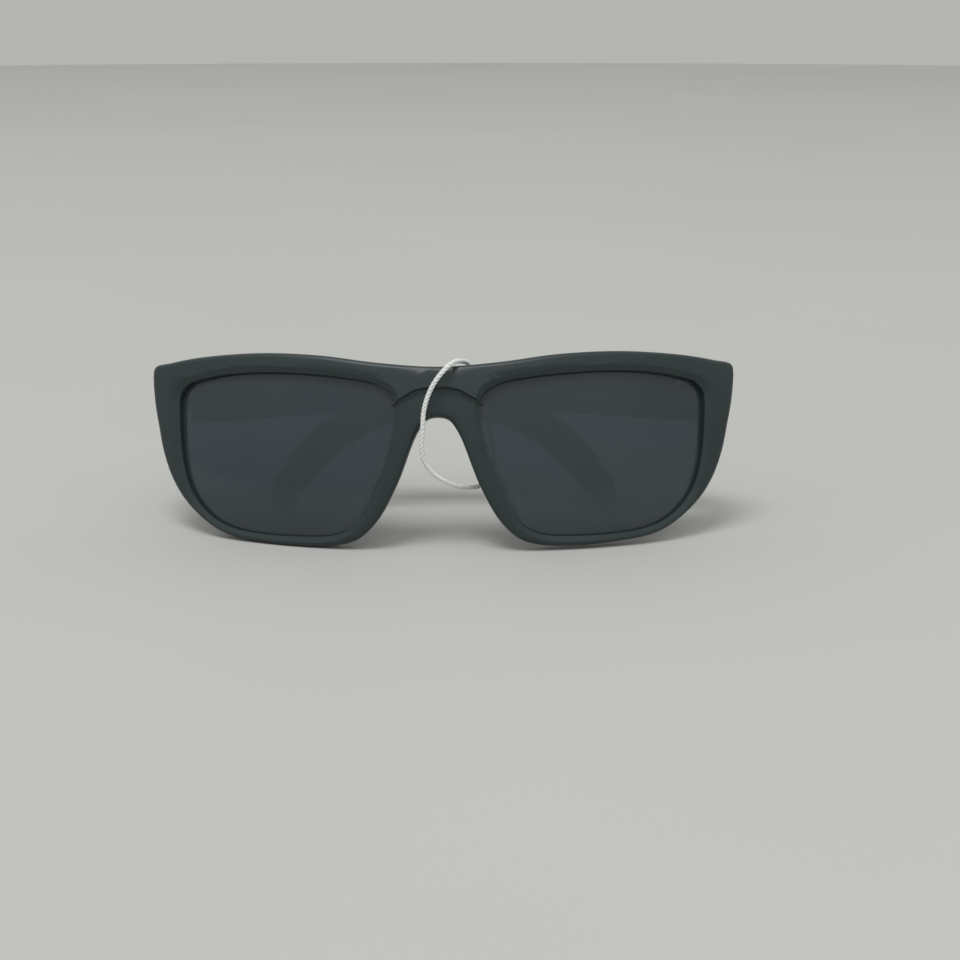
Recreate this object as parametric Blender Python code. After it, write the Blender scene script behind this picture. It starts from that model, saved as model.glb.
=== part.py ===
"""Wraparound sport sunglasses, standing on their lower rims with both temples folded behind the front.

The front is drawn in its own upright frame: x across, y back from the bridge, z up from the middle of the lenses.
An empty then leans that frame back and sets it down. Each temple is drawn straight back from its hinge axis, and
an empty on that axis folds it in. Everything is in metres, and left is the wearer's left, on +X.
"""

import math

import bmesh
import bpy
import numpy as np

# The curved surface that the front is drawn on
WRAP_SQUARE = 3.0
WRAP_FOURTH = 295.0
CROWN_RADIUS = 0.100

# Heights of the rim's faces along the surface's normal, where minus is forward
FACE = -0.0016
BACK = 0.0024
BROW_RAISE = 0.0011
FACE_ROUND = 0.0012
BACK_ROUND = 0.0005
BEVEL_WIDTH = 0.0012
BEVEL_DROP = 0.0006
GROOVE_FRONT = -0.0005
GROOVE_BACK = 0.0017
GROOVE_DEPTH = 0.0010
LENS_FRONT = -0.0002
LENS_BACK = 0.0014
LENS_OVERLAP = 0.0007

# Hinges: the axis, and distances outward from it
AXIS_X = 0.0635
AXIS_Y = 0.0298
HINGE_GAP = 0.00015
INNER_FACE = 0.0018
OUTER_FACE = 0.0075
LEAF_INNER = 0.0007
LEAF_OUTER = 0.0015
LEAF_LENGTH = 0.0054
KNUCKLE_RADIUS = 0.0015
BORE_RADIUS = 0.00085
SCREW_RADIUS = 0.00055
SCREW_HEAD_RADIUS = 0.0011
SCREW_HEAD_TOP_RADIUS = 0.0008
SCREW_HEAD_HEIGHT = 0.0007
HINGE_MIDDLE = 0.0138
HINGE_HALF = 0.0035
MIDDLE_KNUCKLE_HALF = 0.00115
KNUCKLE_GAP = 0.00015
NECK_INSET = 0.00005
NECK_REACH = 0.0012
LEAF_HOLE = (0.0, 0.0017)
PLASTIC_HOLE = (0.0010, 0.0039)
RIVET_HOLE_RADIUS = 0.0009
RIVET_PLACE = 0.0033
RIVET_SPREAD = 0.0019
# A rivet's outline: distance outward and radius, from the domed head to the end of the shank
RIVET = [(-0.0001, 0.0006), (0.0001, 0.0011), (0.0004, 0.00125), (0.0004, 0.0006), (0.0036, 0.0006)]
END_PIECE_BACK = AXIS_Y - HINGE_GAP
END_PIECE_INNER = AXIS_X + INNER_FACE

# Folded temples
FOLD_LEFT = math.radians(90.5)
FOLD_RIGHT = math.radians(85.4)
TEMPLE_BOW = 0.0040
TEMPLE_REACH = 0.108
SLEEVE_START = 0.066
TONGUE_END = 0.088
TONGUE_INSET = 0.0010
GAP = 0.0003

# Near the hinge the temple's section is squarer, and its outer face is undercut below a height
HINGE_END = 0.030
UNDERCUT = 0.08
UNDERCUT_TOP = 0.0198

# How the whole object stands
LEAN = math.radians(13.0)
ROLL = math.radians(0.66)
STANCE_X = 0.00017
STANCE_Y = -0.02011
STANCE_Z = 0.02356

BLACK = (0.030, 0.036, 0.039)
SMOKE = (0.040, 0.050, 0.054)
RUBBER = (0.020, 0.022, 0.023)
STEEL = (0.55, 0.55, 0.54)
WHITE = (0.85, 0.85, 0.83)

# Outer edge of the left half of the front, from the top of the bridge round to the nose arch
OUTER_EDGE = [
    (0.0000, 0.0197),
    (0.0140, 0.0207),
    (0.0280, 0.0226),
    (0.0427, 0.0234),
    (0.0578, 0.0227),
    (0.0651, 0.0217),
    (0.0656, 0.0216),
    (0.0694, 0.0210),
    (0.0704, 0.0200),
    (0.0700, 0.0130),
    (0.0690, 0.0071),
    (0.0689, 0.0067),
    (0.0675, -0.0004),
    (0.0648, -0.0075),
    (0.0603, -0.0135),
    (0.0525, -0.0192),
    (0.0420, -0.0215),
    (0.0304, -0.0224),
    (0.0230, -0.0219),
    (0.0190, -0.0206),
    (0.0146, -0.0165),
    (0.0099, -0.0081),
    (0.0050, 0.0042),
    (0.0026, 0.0075),
    (0.0000, 0.0081),
]
# Edge of the left lens opening, from its upper nasal corner round to the same corner
LENS_EDGE = [
    (0.0104, 0.0128),
    (0.0137, 0.0155),
    (0.0215, 0.0173),
    (0.0410, 0.0189),
    (0.0535, 0.0182),
    (0.0605, 0.0166),
    (0.0608, 0.0164),
    (0.0628, 0.0140),
    (0.0631, 0.0073),
    (0.0631, 0.0069),
    (0.0623, -0.0027),
    (0.0600, -0.0098),
    (0.0550, -0.0155),
    (0.0483, -0.0185),
    (0.0310, -0.0200),
    (0.0240, -0.0194),
    (0.0200, -0.0174),
    (0.0160, -0.0118),
    (0.0123, -0.0026),
    (0.0103, 0.0052),
    (0.0098, 0.0090),
]
# Stretches of the rim: first and last point of each edge, number of steps, and how far the brow is raised
STRETCHES = [
    ("brow", 0, 5, 0, 5, 11, 1.0, 1.0),
    ("end piece top", 6, 8, 6, 7, 3, 1.0, 1.0),
    ("end piece side", 8, 10, 7, 8, 3, 1.0, 0.7),
    ("temple side", 11, 13, 9, 10, 4, 0.7, 0.3),
    ("bottom", 13, 19, 10, 16, 11, 0.3, 0.0),
    ("nose side", 19, 24, 16, 20, 11, 0.0, 0.0),
]
# Heights on the centre line from the nose arch to the top, with the brow's share there
CENTRE_HEIGHTS = [
    (0.0084, 0.0),
    (0.0092, 0.0),
    (0.0116, 0.0),
    (0.0140, 0.0),
    (0.0145, 1.0),
    (0.0185, 1.0),
    (0.0194, 1.0),
]
CORNER_STEPS = 20
ARCH_BULGE = 0.0013
ARCH_HALF = 0.012

# The end pieces swell outward behind the face, from a distance across the front
SWELL = 0.0008
SWELL_START = 0.0650
SWELL_LENGTH = 0.0040

# Nose pads: the ends of the middle of their front faces, and their section
PAD_LOW = (0.0168, 0.0051, -0.0176)
PAD_HIGH = (0.0086, 0.0030, -0.0016)
PAD_HALF_WIDTH = 0.0010
PAD_DEPTH = 0.0046
PAD_FLARE = 0.55
PAD_SECTION = [(1.0, 0.3), (1.0, 0.8), (0.7, 1.0), (-0.7, 1.0), (-1.0, 0.85), (-1.0, 0.15), (-0.8, 0.0), (0.8, 0.0)]
PAD_SIZES = [(0.0, 0.5), (0.04, 0.85), (0.1, 1.0), (0.9, 1.0), (0.96, 0.85), (1.0, 0.5)]

# Temple's centre line: distance back, height, half height and thickness
TEMPLE_LINE = [
    (0.00015, 0.0138, 0.0066, 0.0057),
    (0.0095, 0.0139, 0.0064, 0.0056),
    (0.0220, 0.0142, 0.0056, 0.0042),
    (0.0450, 0.0144, 0.0045, 0.0034),
    (0.0660, 0.0131, 0.0040, 0.0032),
    (0.0820, 0.0091, 0.0041, 0.0034),
    (0.0935, 0.0020, 0.0042, 0.0036),
    (0.1005, -0.0056, 0.0040, 0.0035),
    (0.1042, -0.0117, 0.0033, 0.0031),
    (0.1056, -0.0142, 0.0020, 0.0022),
]

# Route of the hang-tag cord, from the top of its knot over the bridge, down the front and back up behind
CORD_RADIUS = 0.0006
CORD_POINTS = 38
CORD_ROUTE = [
    (0.0087, 0.0066, 0.0158),
    (0.0083, 0.0064, 0.0183),
    (0.0072, 0.0048, 0.0207),
    (0.0053, 0.0010, 0.0213),
    (0.0034, -0.0024, 0.0206),
    (0.0012, -0.0038, 0.0184),
    (-0.0006, -0.0038, 0.0160),
    (-0.0021, -0.0033, 0.0130),
    (-0.0031, -0.0028, 0.0094),
    (-0.0034, -0.0024, 0.0058),
    (-0.0037, -0.0016, 0.0014),
    (-0.0032, -0.0004, -0.0022),
    (-0.0012, 0.0011, -0.0051),
    (0.0022, 0.0032, -0.0074),
    (0.0062, 0.0066, -0.0086),
    (0.0100, 0.0100, -0.0081),
    (0.0126, 0.0114, -0.0050),
    (0.0128, 0.0106, 0.0000),
    (0.0116, 0.0088, 0.0066),
    (0.0098, 0.0070, 0.0122),
]
KNOT_RADIUS = 0.0013


def material(name, colour, roughness, metallic=0.0, alpha=1.0):
    """A plain surface with one colour."""
    made = bpy.data.materials.new(name)
    made.use_nodes = True
    shader = made.node_tree.nodes["Principled BSDF"]
    shader.inputs["Base Color"].default_value = (*colour, 1.0)
    shader.inputs["Roughness"].default_value = roughness
    shader.inputs["Metallic"].default_value = metallic
    shader.inputs["Alpha"].default_value = alpha
    made.diffuse_color = (*colour, alpha)
    return made


def spline(points, steps, before=None, after=None, plane=2):
    """A smooth curve through the points, spaced by their first coordinates, with steps between neighbours."""
    points = [np.array(point, dtype=float) for point in points]
    first = points[0] * 2 - points[1] if before is None else np.array(before, dtype=float)
    last = points[-1] * 2 - points[-2] if after is None else np.array(after, dtype=float)
    line = [first, *points, last]
    samples = []
    for a, b, c, d in zip(line, line[1:], line[2:], line[3:]):
        spans = [np.linalg.norm(q[:plane] - p[:plane]) for p, q in ((a, b), (b, c), (c, d))]
        reach = [math.sqrt(max(span, 1e-9)) for span in spans]
        leave = (b - a) / reach[0] - (c - a) / (reach[0] + reach[1]) + (c - b) / reach[1]
        arrive = (c - b) / reach[1] - (d - b) / (reach[1] + reach[2]) + (d - c) / reach[2]
        leave = leave * reach[1]
        arrive = arrive * reach[1]
        for step in range(steps):
            s = step / steps
            samples.append(
                (2 * s**3 - 3 * s**2 + 1) * b
                + (s**3 - 2 * s**2 + s) * leave
                + (3 * s**2 - 2 * s**3) * c
                + (s**3 - s**2) * arrive
            )
    samples.append(points[-1])
    return np.array(samples)


def even(samples, count):
    """The curve again, with count equal steps."""
    lengths = np.concatenate([[0.0], np.cumsum(np.linalg.norm(np.diff(samples, axis=0), axis=1))])
    wanted = np.linspace(0.0, lengths[-1], count + 1)
    return np.column_stack([np.interp(wanted, lengths, samples[:, k]) for k in range(samples.shape[1])])


def distance_to(curve, point):
    """The distance from a point to a curve in the plane of the front."""
    start = curve[:-1]
    along = curve[1:] - start
    share = np.sum((point - start) * along, axis=1) / np.maximum(np.sum(along**2, axis=1), 1e-18)
    nearest = start + along * np.clip(share, 0.0, 1.0)[:, None]
    return float(np.min(np.linalg.norm(nearest - point, axis=1)))


def surface(x, z, height=0.0):
    """The point at a height along the normal of the front's curved surface."""
    y = WRAP_SQUARE * x**2 + WRAP_FOURTH * x**4 + z**2 / (2 * CROWN_RADIUS)
    normal = np.array([-2 * WRAP_SQUARE * x - 4 * WRAP_FOURTH * x**3, 1.0, -z / CROWN_RADIUS])
    return np.array([x, y, z]) + height * normal / np.linalg.norm(normal)


def rounding(distance, radius):
    """How far a rounded edge falls away at a distance from it."""
    share = max(0.0, 1.0 - distance / radius)
    return radius * (1.0 - math.sqrt(max(0.0, 1.0 - share**2)))


STEPS = 12
MIRRORED = [(-x, z) for x, z in OUTER_EDGE]
OUTER = spline(OUTER_EDGE, STEPS, before=MIRRORED[1], after=MIRRORED[-2])
INNER = spline([*LENS_EDGE, LENS_EDGE[0]], STEPS, before=LENS_EDGE[-1], after=LENS_EDGE[1])


def rim_stations():
    """Pairs of an inner and an outer point round the left rim, with the brow's share and the kind of stretch."""
    stations = []
    for name, out_first, out_last, in_first, in_last, count, share_first, share_last in STRETCHES:
        outer = even(OUTER[out_first * STEPS : out_last * STEPS + 1], count)
        inner = even(INNER[in_first * STEPS : in_last * STEPS + 1], count)
        follows = bool(stations) and np.allclose(stations[-1][1], outer[0])
        for k in range(1 if follows else 0, count + 1):
            share = share_first + (share_last - share_first) * k / count
            stations.append((inner[k], outer[k], share, name))
    corner = even(INNER[(len(LENS_EDGE) - 1) * STEPS :], CORNER_STEPS)
    arch = OUTER_EDGE[-1][1]
    top = OUTER_EDGE[0][1]
    for height, share in CENTRE_HEIGHTS:
        place = (height - arch) / (top - arch) * CORNER_STEPS
        low = corner[int(place)]
        high = corner[min(int(place) + 1, CORNER_STEPS)]
        inner = low + (high - low) * (place - int(place))
        stations.append((inner, np.array([0.0, height]), share, "centre"))
    return stations


def across(station, share):
    """A point on the line from the lens opening to the outer edge, arched over the nose near the centre."""
    inner, outer, _, name = station
    bulge = 0.0
    if name == "centre" or (name in ("brow", "nose side") and outer[0] < ARCH_HALF):
        bulge = ARCH_BULGE * (1.0 - outer[0] / ARCH_HALF)
    return inner + (outer - inner) * share + np.array([0.0, 4.0 * bulge * share * (1.0 - share)])


def face_point(station, share):
    point = across(station, share)
    raised = station[2] * BROW_RAISE
    drop = rounding(distance_to(OUTER, point), FACE_ROUND)
    near = distance_to(INNER, point)
    bevel = BEVEL_DROP * max(0.0, 1.0 - near / BEVEL_WIDTH) * (1.0 + 0.8 * station[2])
    return surface(*point, FACE - raised + drop + bevel)


def back_point(station, share):
    point = across(station, share)
    fall = rounding(distance_to(OUTER, point), BACK_ROUND) + rounding(distance_to(INNER, point), BACK_ROUND)
    return surface(*point, BACK - fall)


def straight_back(point, y, outward=0.0):
    return np.array([point[0] + outward, y, point[1]])


def rim_section(station):
    """The closed outline of the rim's section, from the lens opening forward, outward, back and inward."""
    inner, outer, _, name = station
    width = float(np.linalg.norm(outer - inner))
    face_shares = [0.0, 0.35 * BEVEL_WIDTH / width, BEVEL_WIDTH / width, 0.55]
    face_shares += [1.0 - FACE_ROUND / width * s for s in (1.0, 0.5, 0.18, 0.0)]
    section = [face_point(station, share) for share in sorted(face_shares)]
    if name.startswith("end piece"):
        outward = SWELL * min(1.0, max(0.0, (outer[0] - SWELL_START) / SWELL_LENGTH))
        crossing = (END_PIECE_INNER - inner[0]) / (outer[0] - inner[0])
        root = back_point(station, crossing)
        root[0] = END_PIECE_INNER
        section.append(straight_back(outer, section[-1][1] + FACE_ROUND, outward))
        section.append(straight_back(outer, END_PIECE_BACK, outward))
        section.append(straight_back([END_PIECE_INNER, across(station, crossing)[1]], END_PIECE_BACK))
        section.append(root)
    else:
        section.append(surface(*outer, 0.5 * (FACE + BACK)))
        section.append(back_point(station, 1.0))
        section.append(back_point(station, 1.0 - BACK_ROUND / width))
        section.append(back_point(station, 0.6))
    section.append(back_point(station, BACK_ROUND / width))
    section.append(surface(*inner, BACK - BACK_ROUND))
    return section


def groove_section(station, outward):
    """The part of the section inside the lens opening: a groove that holds the lens."""
    inner = station[0]
    deep = inner + outward * GROOVE_DEPTH
    return [
        surface(*inner, GROOVE_BACK),
        surface(*deep, GROOVE_BACK),
        surface(*deep, GROOVE_FRONT),
        surface(*inner, GROOVE_FRONT),
    ]


def outward_normals(points):
    """Unit normals of a closed loop of points, pointing away from its middle."""
    along = np.roll(points, -1, axis=0) - np.roll(points, 1, axis=0)
    normals = np.column_stack([-along[:, 1], along[:, 0]])
    normals /= np.linalg.norm(normals, axis=1)[:, None]
    if np.sum(normals * (points - points.mean(axis=0))) < 0:
        normals = -normals
    return normals


def finish(mesh, name, look, parent, smooth=40.0):
    """Closes a bmesh, turns its faces outward and makes an object of it."""
    bmesh.ops.recalc_face_normals(mesh, faces=mesh.faces)
    data = bpy.data.meshes.new(name)
    mesh.to_mesh(data)
    mesh.free()
    data.shade_smooth()
    data.set_sharp_from_angle(angle=math.radians(smooth))
    made = bpy.data.objects.new(name, data)
    bpy.context.scene.collection.objects.link(made)
    data.materials.append(look)
    made.parent = parent
    return made


def front_frame(look, parent):
    """The moulded front, drawn as its left half and mirrored."""
    stations = rim_stations()
    normals = outward_normals(np.array([station[0] for station in stations]))
    sections = [rim_section(s) + groove_section(s, n) for s, n in zip(stations, normals)]
    # The outer wall has no faces on the centre line, where the two halves meet
    wall = (7, 8)
    mesh = bmesh.new()
    for side in (1.0, -1.0):
        rows = [[mesh.verts.new((side * p[0], p[1], p[2])) for p in section] for section in sections]
        for k, row in enumerate(rows):
            ahead = rows[(k + 1) % len(rows)]
            here, there = stations[k], stations[(k + 1) % len(rows)]
            on_centre = here[1][0] < 1e-6 and there[1][0] < 1e-6
            for column in range(len(row)):
                if on_centre and column in wall:
                    continue
                after = (column + 1) % len(row)
                mesh.faces.new((row[column], row[after], ahead[after], ahead[column]))
    loose = [v for v in mesh.verts if not v.link_faces]
    bmesh.ops.delete(mesh, geom=loose, context="VERTS")
    bmesh.ops.remove_doubles(mesh, verts=mesh.verts, dist=1e-6)
    return finish(mesh, "front_frame", look, parent)


def lens(side, name, look, parent):
    """A curved lens whose edge sits in the rim's groove."""
    loop = even(INNER, 56)[:-1]
    loop = loop + outward_normals(loop) * LENS_OVERLAP
    middle = loop.mean(axis=0)
    mesh = bmesh.new()

    def shell(height):
        rings = []
        for share in (1.0, 0.75, 0.5, 0.25):
            ring = [surface(*(middle + (point - middle) * share), height) for point in loop]
            rings.append([mesh.verts.new((side * p[0], p[1], p[2])) for p in ring])
        centre = surface(*middle, height)
        rings.append([mesh.verts.new((side * centre[0], centre[1], centre[2]))])
        return rings

    front = shell(LENS_FRONT)
    back = shell(LENS_BACK)
    count = len(loop)
    for rings in (front, back):
        for outer, inner in zip(rings, rings[1:-1]):
            for k in range(count):
                j = (k + 1) % count
                mesh.faces.new((outer[k], outer[j], inner[j], inner[k]))
        for k in range(count):
            mesh.faces.new((rings[-2][k], rings[-2][(k + 1) % count], rings[-1][0]))
    for k in range(count):
        j = (k + 1) % count
        mesh.faces.new((front[0][k], front[0][j], back[0][j], back[0][k]))
    return finish(mesh, name, look, parent)


def loft(rings, name, look, parent, smooth=40.0):
    """A solid through rings of points, closed at both ends."""
    mesh = bmesh.new()
    rows = [[mesh.verts.new(p) for p in ring] for ring in rings]
    count = len(rows[0])
    for row, ahead in zip(rows, rows[1:]):
        for k in range(count):
            j = (k + 1) % count
            mesh.faces.new((row[k], row[j], ahead[j], ahead[k]))
    mesh.faces.new(rows[0])
    mesh.faces.new(rows[-1])
    return finish(mesh, name, look, parent, smooth)


def rounded(count, power):
    """Points round a rounded square that reaches 1 each way."""
    points = []
    for k in range(count):
        angle = 2 * math.pi * (k + 0.5) / count
        a, b = math.cos(angle), math.sin(angle)
        points.append((math.copysign(abs(a) ** (2 / power), a), math.copysign(abs(b) ** (2 / power), b)))
    return points


def temple_ring(side, place, along, shrink=0.0, count=20):
    """A section of the temple square to its centre line."""
    back, height, half, thick = place
    tangent = along / np.linalg.norm(along)
    up = np.array([-tangent[1], tangent[0]])
    bow = TEMPLE_BOW * (back / TEMPLE_REACH) ** 2
    near_hinge = max(0.0, 1.0 - back / HINGE_END)
    middle = OUTER_FACE - thick / 2 - bow
    power = 3.0 + 4.0 * near_hinge
    ring = []
    for across_share, up_share in rounded(count, power):
        offset = up * up_share * (half - shrink)
        out = middle + across_share * (thick / 2 - shrink)
        below = max(0.0, UNDERCUT_TOP - height - offset[1])
        out -= UNDERCUT * near_hinge * below * (0.5 + 0.5 * across_share)
        ring.append((side * out, back + offset[0], height + offset[1]))
    return ring


def temple_sections(first, last, shrink=0.0):
    """Sections between two distances back from the hinge, at both ends and at every second sample between."""
    line = spline(TEMPLE_LINE, 6)
    tangents = np.gradient(line[:, :2], axis=0)
    tangents[0] = (1.0, 0.0)
    cuts = {max(first, line[0, 0]), min(last, line[-1, 0])}
    cuts |= {back for back in line[::2, 0] if first + 0.001 < back < last - 0.001}

    def at(cut, rows):
        return np.array([np.interp(cut, line[:, 0], column) for column in rows.T])

    return [(at(cut, line), at(cut, tangents), shrink) for cut in sorted(cuts)]


def temple_arm(side, name, look, parent):
    """The hard arm, whose far end narrows to a tongue inside the ear sleeve."""
    shown = temple_sections(0.0, SLEEVE_START)
    tongue = temple_sections(SLEEVE_START, TONGUE_END, shrink=TONGUE_INSET)
    rings = [temple_ring(side, *section) for section in shown + tongue]
    return loft(rings, name, look, parent)


def ear_sleeve(side, name, look, parent):
    """The soft sleeve over the tongue, open towards the hinge."""
    outside = temple_sections(SLEEVE_START + GAP, TEMPLE_REACH)
    cavity = temple_sections(SLEEVE_START + GAP, TONGUE_END + GAP, shrink=TONGUE_INSET - GAP)
    rings = [temple_ring(side, *section) for section in cavity[::-1] + outside]
    return loft(rings, name, look, parent)


def cylinder(radius, low, high, place, axis, sides=20):
    """A closed cylinder along x or z, as a bmesh."""
    mesh = bmesh.new()
    rings = []
    for end in (low, high):
        ring = []
        for k in range(sides):
            a = 2 * math.pi * k / sides
            c, s = radius * math.cos(a), radius * math.sin(a)
            point = (place[0] + c, place[1] + s, end) if axis == "z" else (end, place[0] + c, place[1] + s)
            ring.append(mesh.verts.new(point))
        rings.append(ring)
    for k in range(sides):
        j = (k + 1) % sides
        mesh.faces.new((rings[0][k], rings[0][j], rings[1][j], rings[1][k]))
    mesh.faces.new(rings[0])
    mesh.faces.new(rings[1])
    bmesh.ops.recalc_face_normals(mesh, faces=mesh.faces)
    return mesh


def box(low, high):
    """A closed box, as a bmesh."""
    mesh = bmesh.new()
    bmesh.ops.create_cube(mesh, size=1.0)
    for vert in mesh.verts:
        for k in range(3):
            vert.co[k] = low[k] if vert.co[k] < 0 else high[k]
    bmesh.ops.recalc_face_normals(mesh, faces=mesh.faces)
    return mesh


def tool(mesh, name, parent):
    """An unrendered helper object for a Boolean."""
    data = bpy.data.meshes.new(name)
    mesh.to_mesh(data)
    mesh.free()
    made = bpy.data.objects.new(name, data)
    bpy.context.scene.collection.objects.link(made)
    made.parent = parent
    made.hide_render = True
    made.display_type = "WIRE"
    return made


def combine(target, helper, operation):
    step = target.modifiers.new(helper.name, "BOOLEAN")
    step.operation = operation
    step.solver = "EXACT"
    step.object = helper


def spread(side, low, high):
    """Two distances outward, in rising order for the given side."""
    return sorted((side * low, side * high))


def leaf(side, name, look, parent, towards, knuckles):
    """A hinge leaf: a plate that runs forward (-1) or back (+1) from the axis, with its knuckles."""
    inner, outer = spread(side, LEAF_INNER, LEAF_OUTER)
    near, far = sorted((towards * (KNUCKLE_RADIUS + GAP), towards * (KNUCKLE_RADIUS + LEAF_LENGTH)))
    bottom, top = HINGE_MIDDLE - HINGE_HALF, HINGE_MIDDLE + HINGE_HALF
    made = finish(box((inner, near, bottom), (outer, far, top)), name, look, parent)
    for k, (low, high) in enumerate(knuckles):
        barrel = cylinder(KNUCKLE_RADIUS, low, high, (0.0, 0.0), "z")
        combine(made, tool(barrel, f"{name}_barrel_{k}", parent), "UNION")
        neck_inner, neck_outer = spread(side, LEAF_INNER + NECK_INSET, LEAF_OUTER - NECK_INSET)
        neck_near, neck_far = sorted((0.0, towards * (KNUCKLE_RADIUS + NECK_REACH)))
        neck = box((neck_inner, neck_near, low + NECK_INSET), (neck_outer, neck_far, high - NECK_INSET))
        combine(made, tool(neck, f"{name}_neck_{k}", parent), "UNION")
    bore = cylinder(BORE_RADIUS, bottom - 0.001, top + 0.001, (0.0, 0.0), "z")
    combine(made, tool(bore, f"{name}_bore", parent), "DIFFERENCE")
    for level, place in rivet_places(towards).items():
        hole = cylinder(RIVET_HOLE_RADIUS, *spread(side, *LEAF_HOLE), place, "x")
        combine(made, tool(hole, f"{name}_hole_{level}", parent), "DIFFERENCE")
    return made


def rivet_places(towards):
    """Where a leaf's two rivets go: distance along the leaf and height, by name."""
    along = towards * (KNUCKLE_RADIUS + RIVET_PLACE)
    return {"lower": (along, HINGE_MIDDLE - RIVET_SPREAD), "upper": (along, HINGE_MIDDLE + RIVET_SPREAD)}


def rivet(side, name, look, parent, place):
    """A rivet: a domed head on the leaf and a shank into the plastic."""
    rings = []
    for out, radius in RIVET:
        turns = [2 * math.pi * k / 16 for k in range(16)]
        rings.append([(side * out, place[0] + radius * math.cos(a), place[1] + radius * math.sin(a)) for a in turns])
    return loft(rings, name, look, parent)


def rivet_holes(target, side, parent, towards):
    """Blind holes for the rivets in the plastic behind a leaf."""
    for level, place in rivet_places(towards).items():
        hole = cylinder(RIVET_HOLE_RADIUS, *spread(side, *PLASTIC_HOLE), place, "x")
        combine(target, tool(hole, f"{target.name}_{parent.name}_hole_{level}", parent), "DIFFERENCE")


def screw(name, look, parent):
    """The hinge screw: a shank through all the knuckles with a flat head on top."""
    top = HINGE_MIDDLE + HINGE_HALF
    bottom = HINGE_MIDDLE - HINGE_HALF
    profile = [
        (bottom - GAP, SCREW_RADIUS),
        (top + GAP, SCREW_RADIUS),
        (top + GAP, SCREW_HEAD_RADIUS),
        (top + SCREW_HEAD_HEIGHT, SCREW_HEAD_RADIUS),
        (top + GAP + SCREW_HEAD_HEIGHT, SCREW_HEAD_TOP_RADIUS),
    ]
    rings = []
    for height, radius in profile:
        ring = []
        for k in range(20):
            a = 2 * math.pi * k / 20
            ring.append((radius * math.cos(a), radius * math.sin(a), height))
        rings.append(ring)
    return loft(rings, name, look, parent)


def nose_pad(side, name, look, parent):
    """A soft pad behind the nasal rim with a flat face to the nose, flaring out towards the back."""
    low, high = np.array(PAD_LOW), np.array(PAD_HIGH)
    along = (high - low) / np.linalg.norm(high - low)
    inward = np.array([along[2], 0.0, -along[0]])
    inward /= np.linalg.norm(inward)
    back = np.array([0.0, 1.0, 0.0]) + PAD_FLARE * inward
    rings = []
    for place, size in PAD_SIZES:
        middle = low + (high - low) * place
        ring = []
        for a, b in PAD_SECTION:
            flat = -1.0 if a == -1.0 and size == 1.0 else a * size
            p = middle + inward * flat * PAD_HALF_WIDTH + back * b * size * PAD_DEPTH
            ring.append((side * p[0], p[1], p[2]))
        rings.append(ring)
    return loft(rings, name, look, parent)


def tag_cord(name, look, parent):
    """The plain core of the twisted cord."""
    route = even(spline(CORD_ROUTE, STEPS, plane=3), CORD_POINTS)
    data = bpy.data.curves.new(name, "CURVE")
    data.dimensions = "3D"
    data.bevel_depth = CORD_RADIUS
    data.bevel_resolution = 2
    data.use_fill_caps = True
    strand = data.splines.new("POLY")
    strand.points.add(len(route) - 1)
    for point, place in zip(strand.points, route):
        point.co = (*place, 1.0)
    made = bpy.data.objects.new(name, data)
    bpy.context.scene.collection.objects.link(made)
    data.materials.append(look)
    made.parent = parent
    return made


def cord_knot(name, look, parent):
    """The small knot that joins the cord's two ends behind the bridge."""
    start = np.array(CORD_ROUTE[0])
    end = np.array(CORD_ROUTE[-1])
    length = np.linalg.norm(start - end)
    along = (start - end) / length
    side = np.cross(along, (0.0, 1.0, 0.0))
    side /= np.linalg.norm(side)
    other = np.cross(along, side)
    half = length / 2 - GAP
    rings = []
    for step in range(9):
        turn = math.pi * (step / 8 - 0.5)
        height = half * math.sin(turn)
        radius = max(CORD_RADIUS, KNOT_RADIUS * math.cos(turn) ** 0.7)
        ring = []
        for k in range(14):
            a = 2 * math.pi * k / 14
            point = (start + end) / 2 + along * height + radius * (side * math.cos(a) + other * math.sin(a))
            ring.append(tuple(point))
        rings.append(ring)
    return loft(rings, name, look, parent)


def empty(name, parent, location, turn=(0.0, 0.0, 0.0)):
    made = bpy.data.objects.new(name, None)
    bpy.context.scene.collection.objects.link(made)
    made.parent = parent
    made.location = location
    made.rotation_euler = turn
    return made


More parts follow.
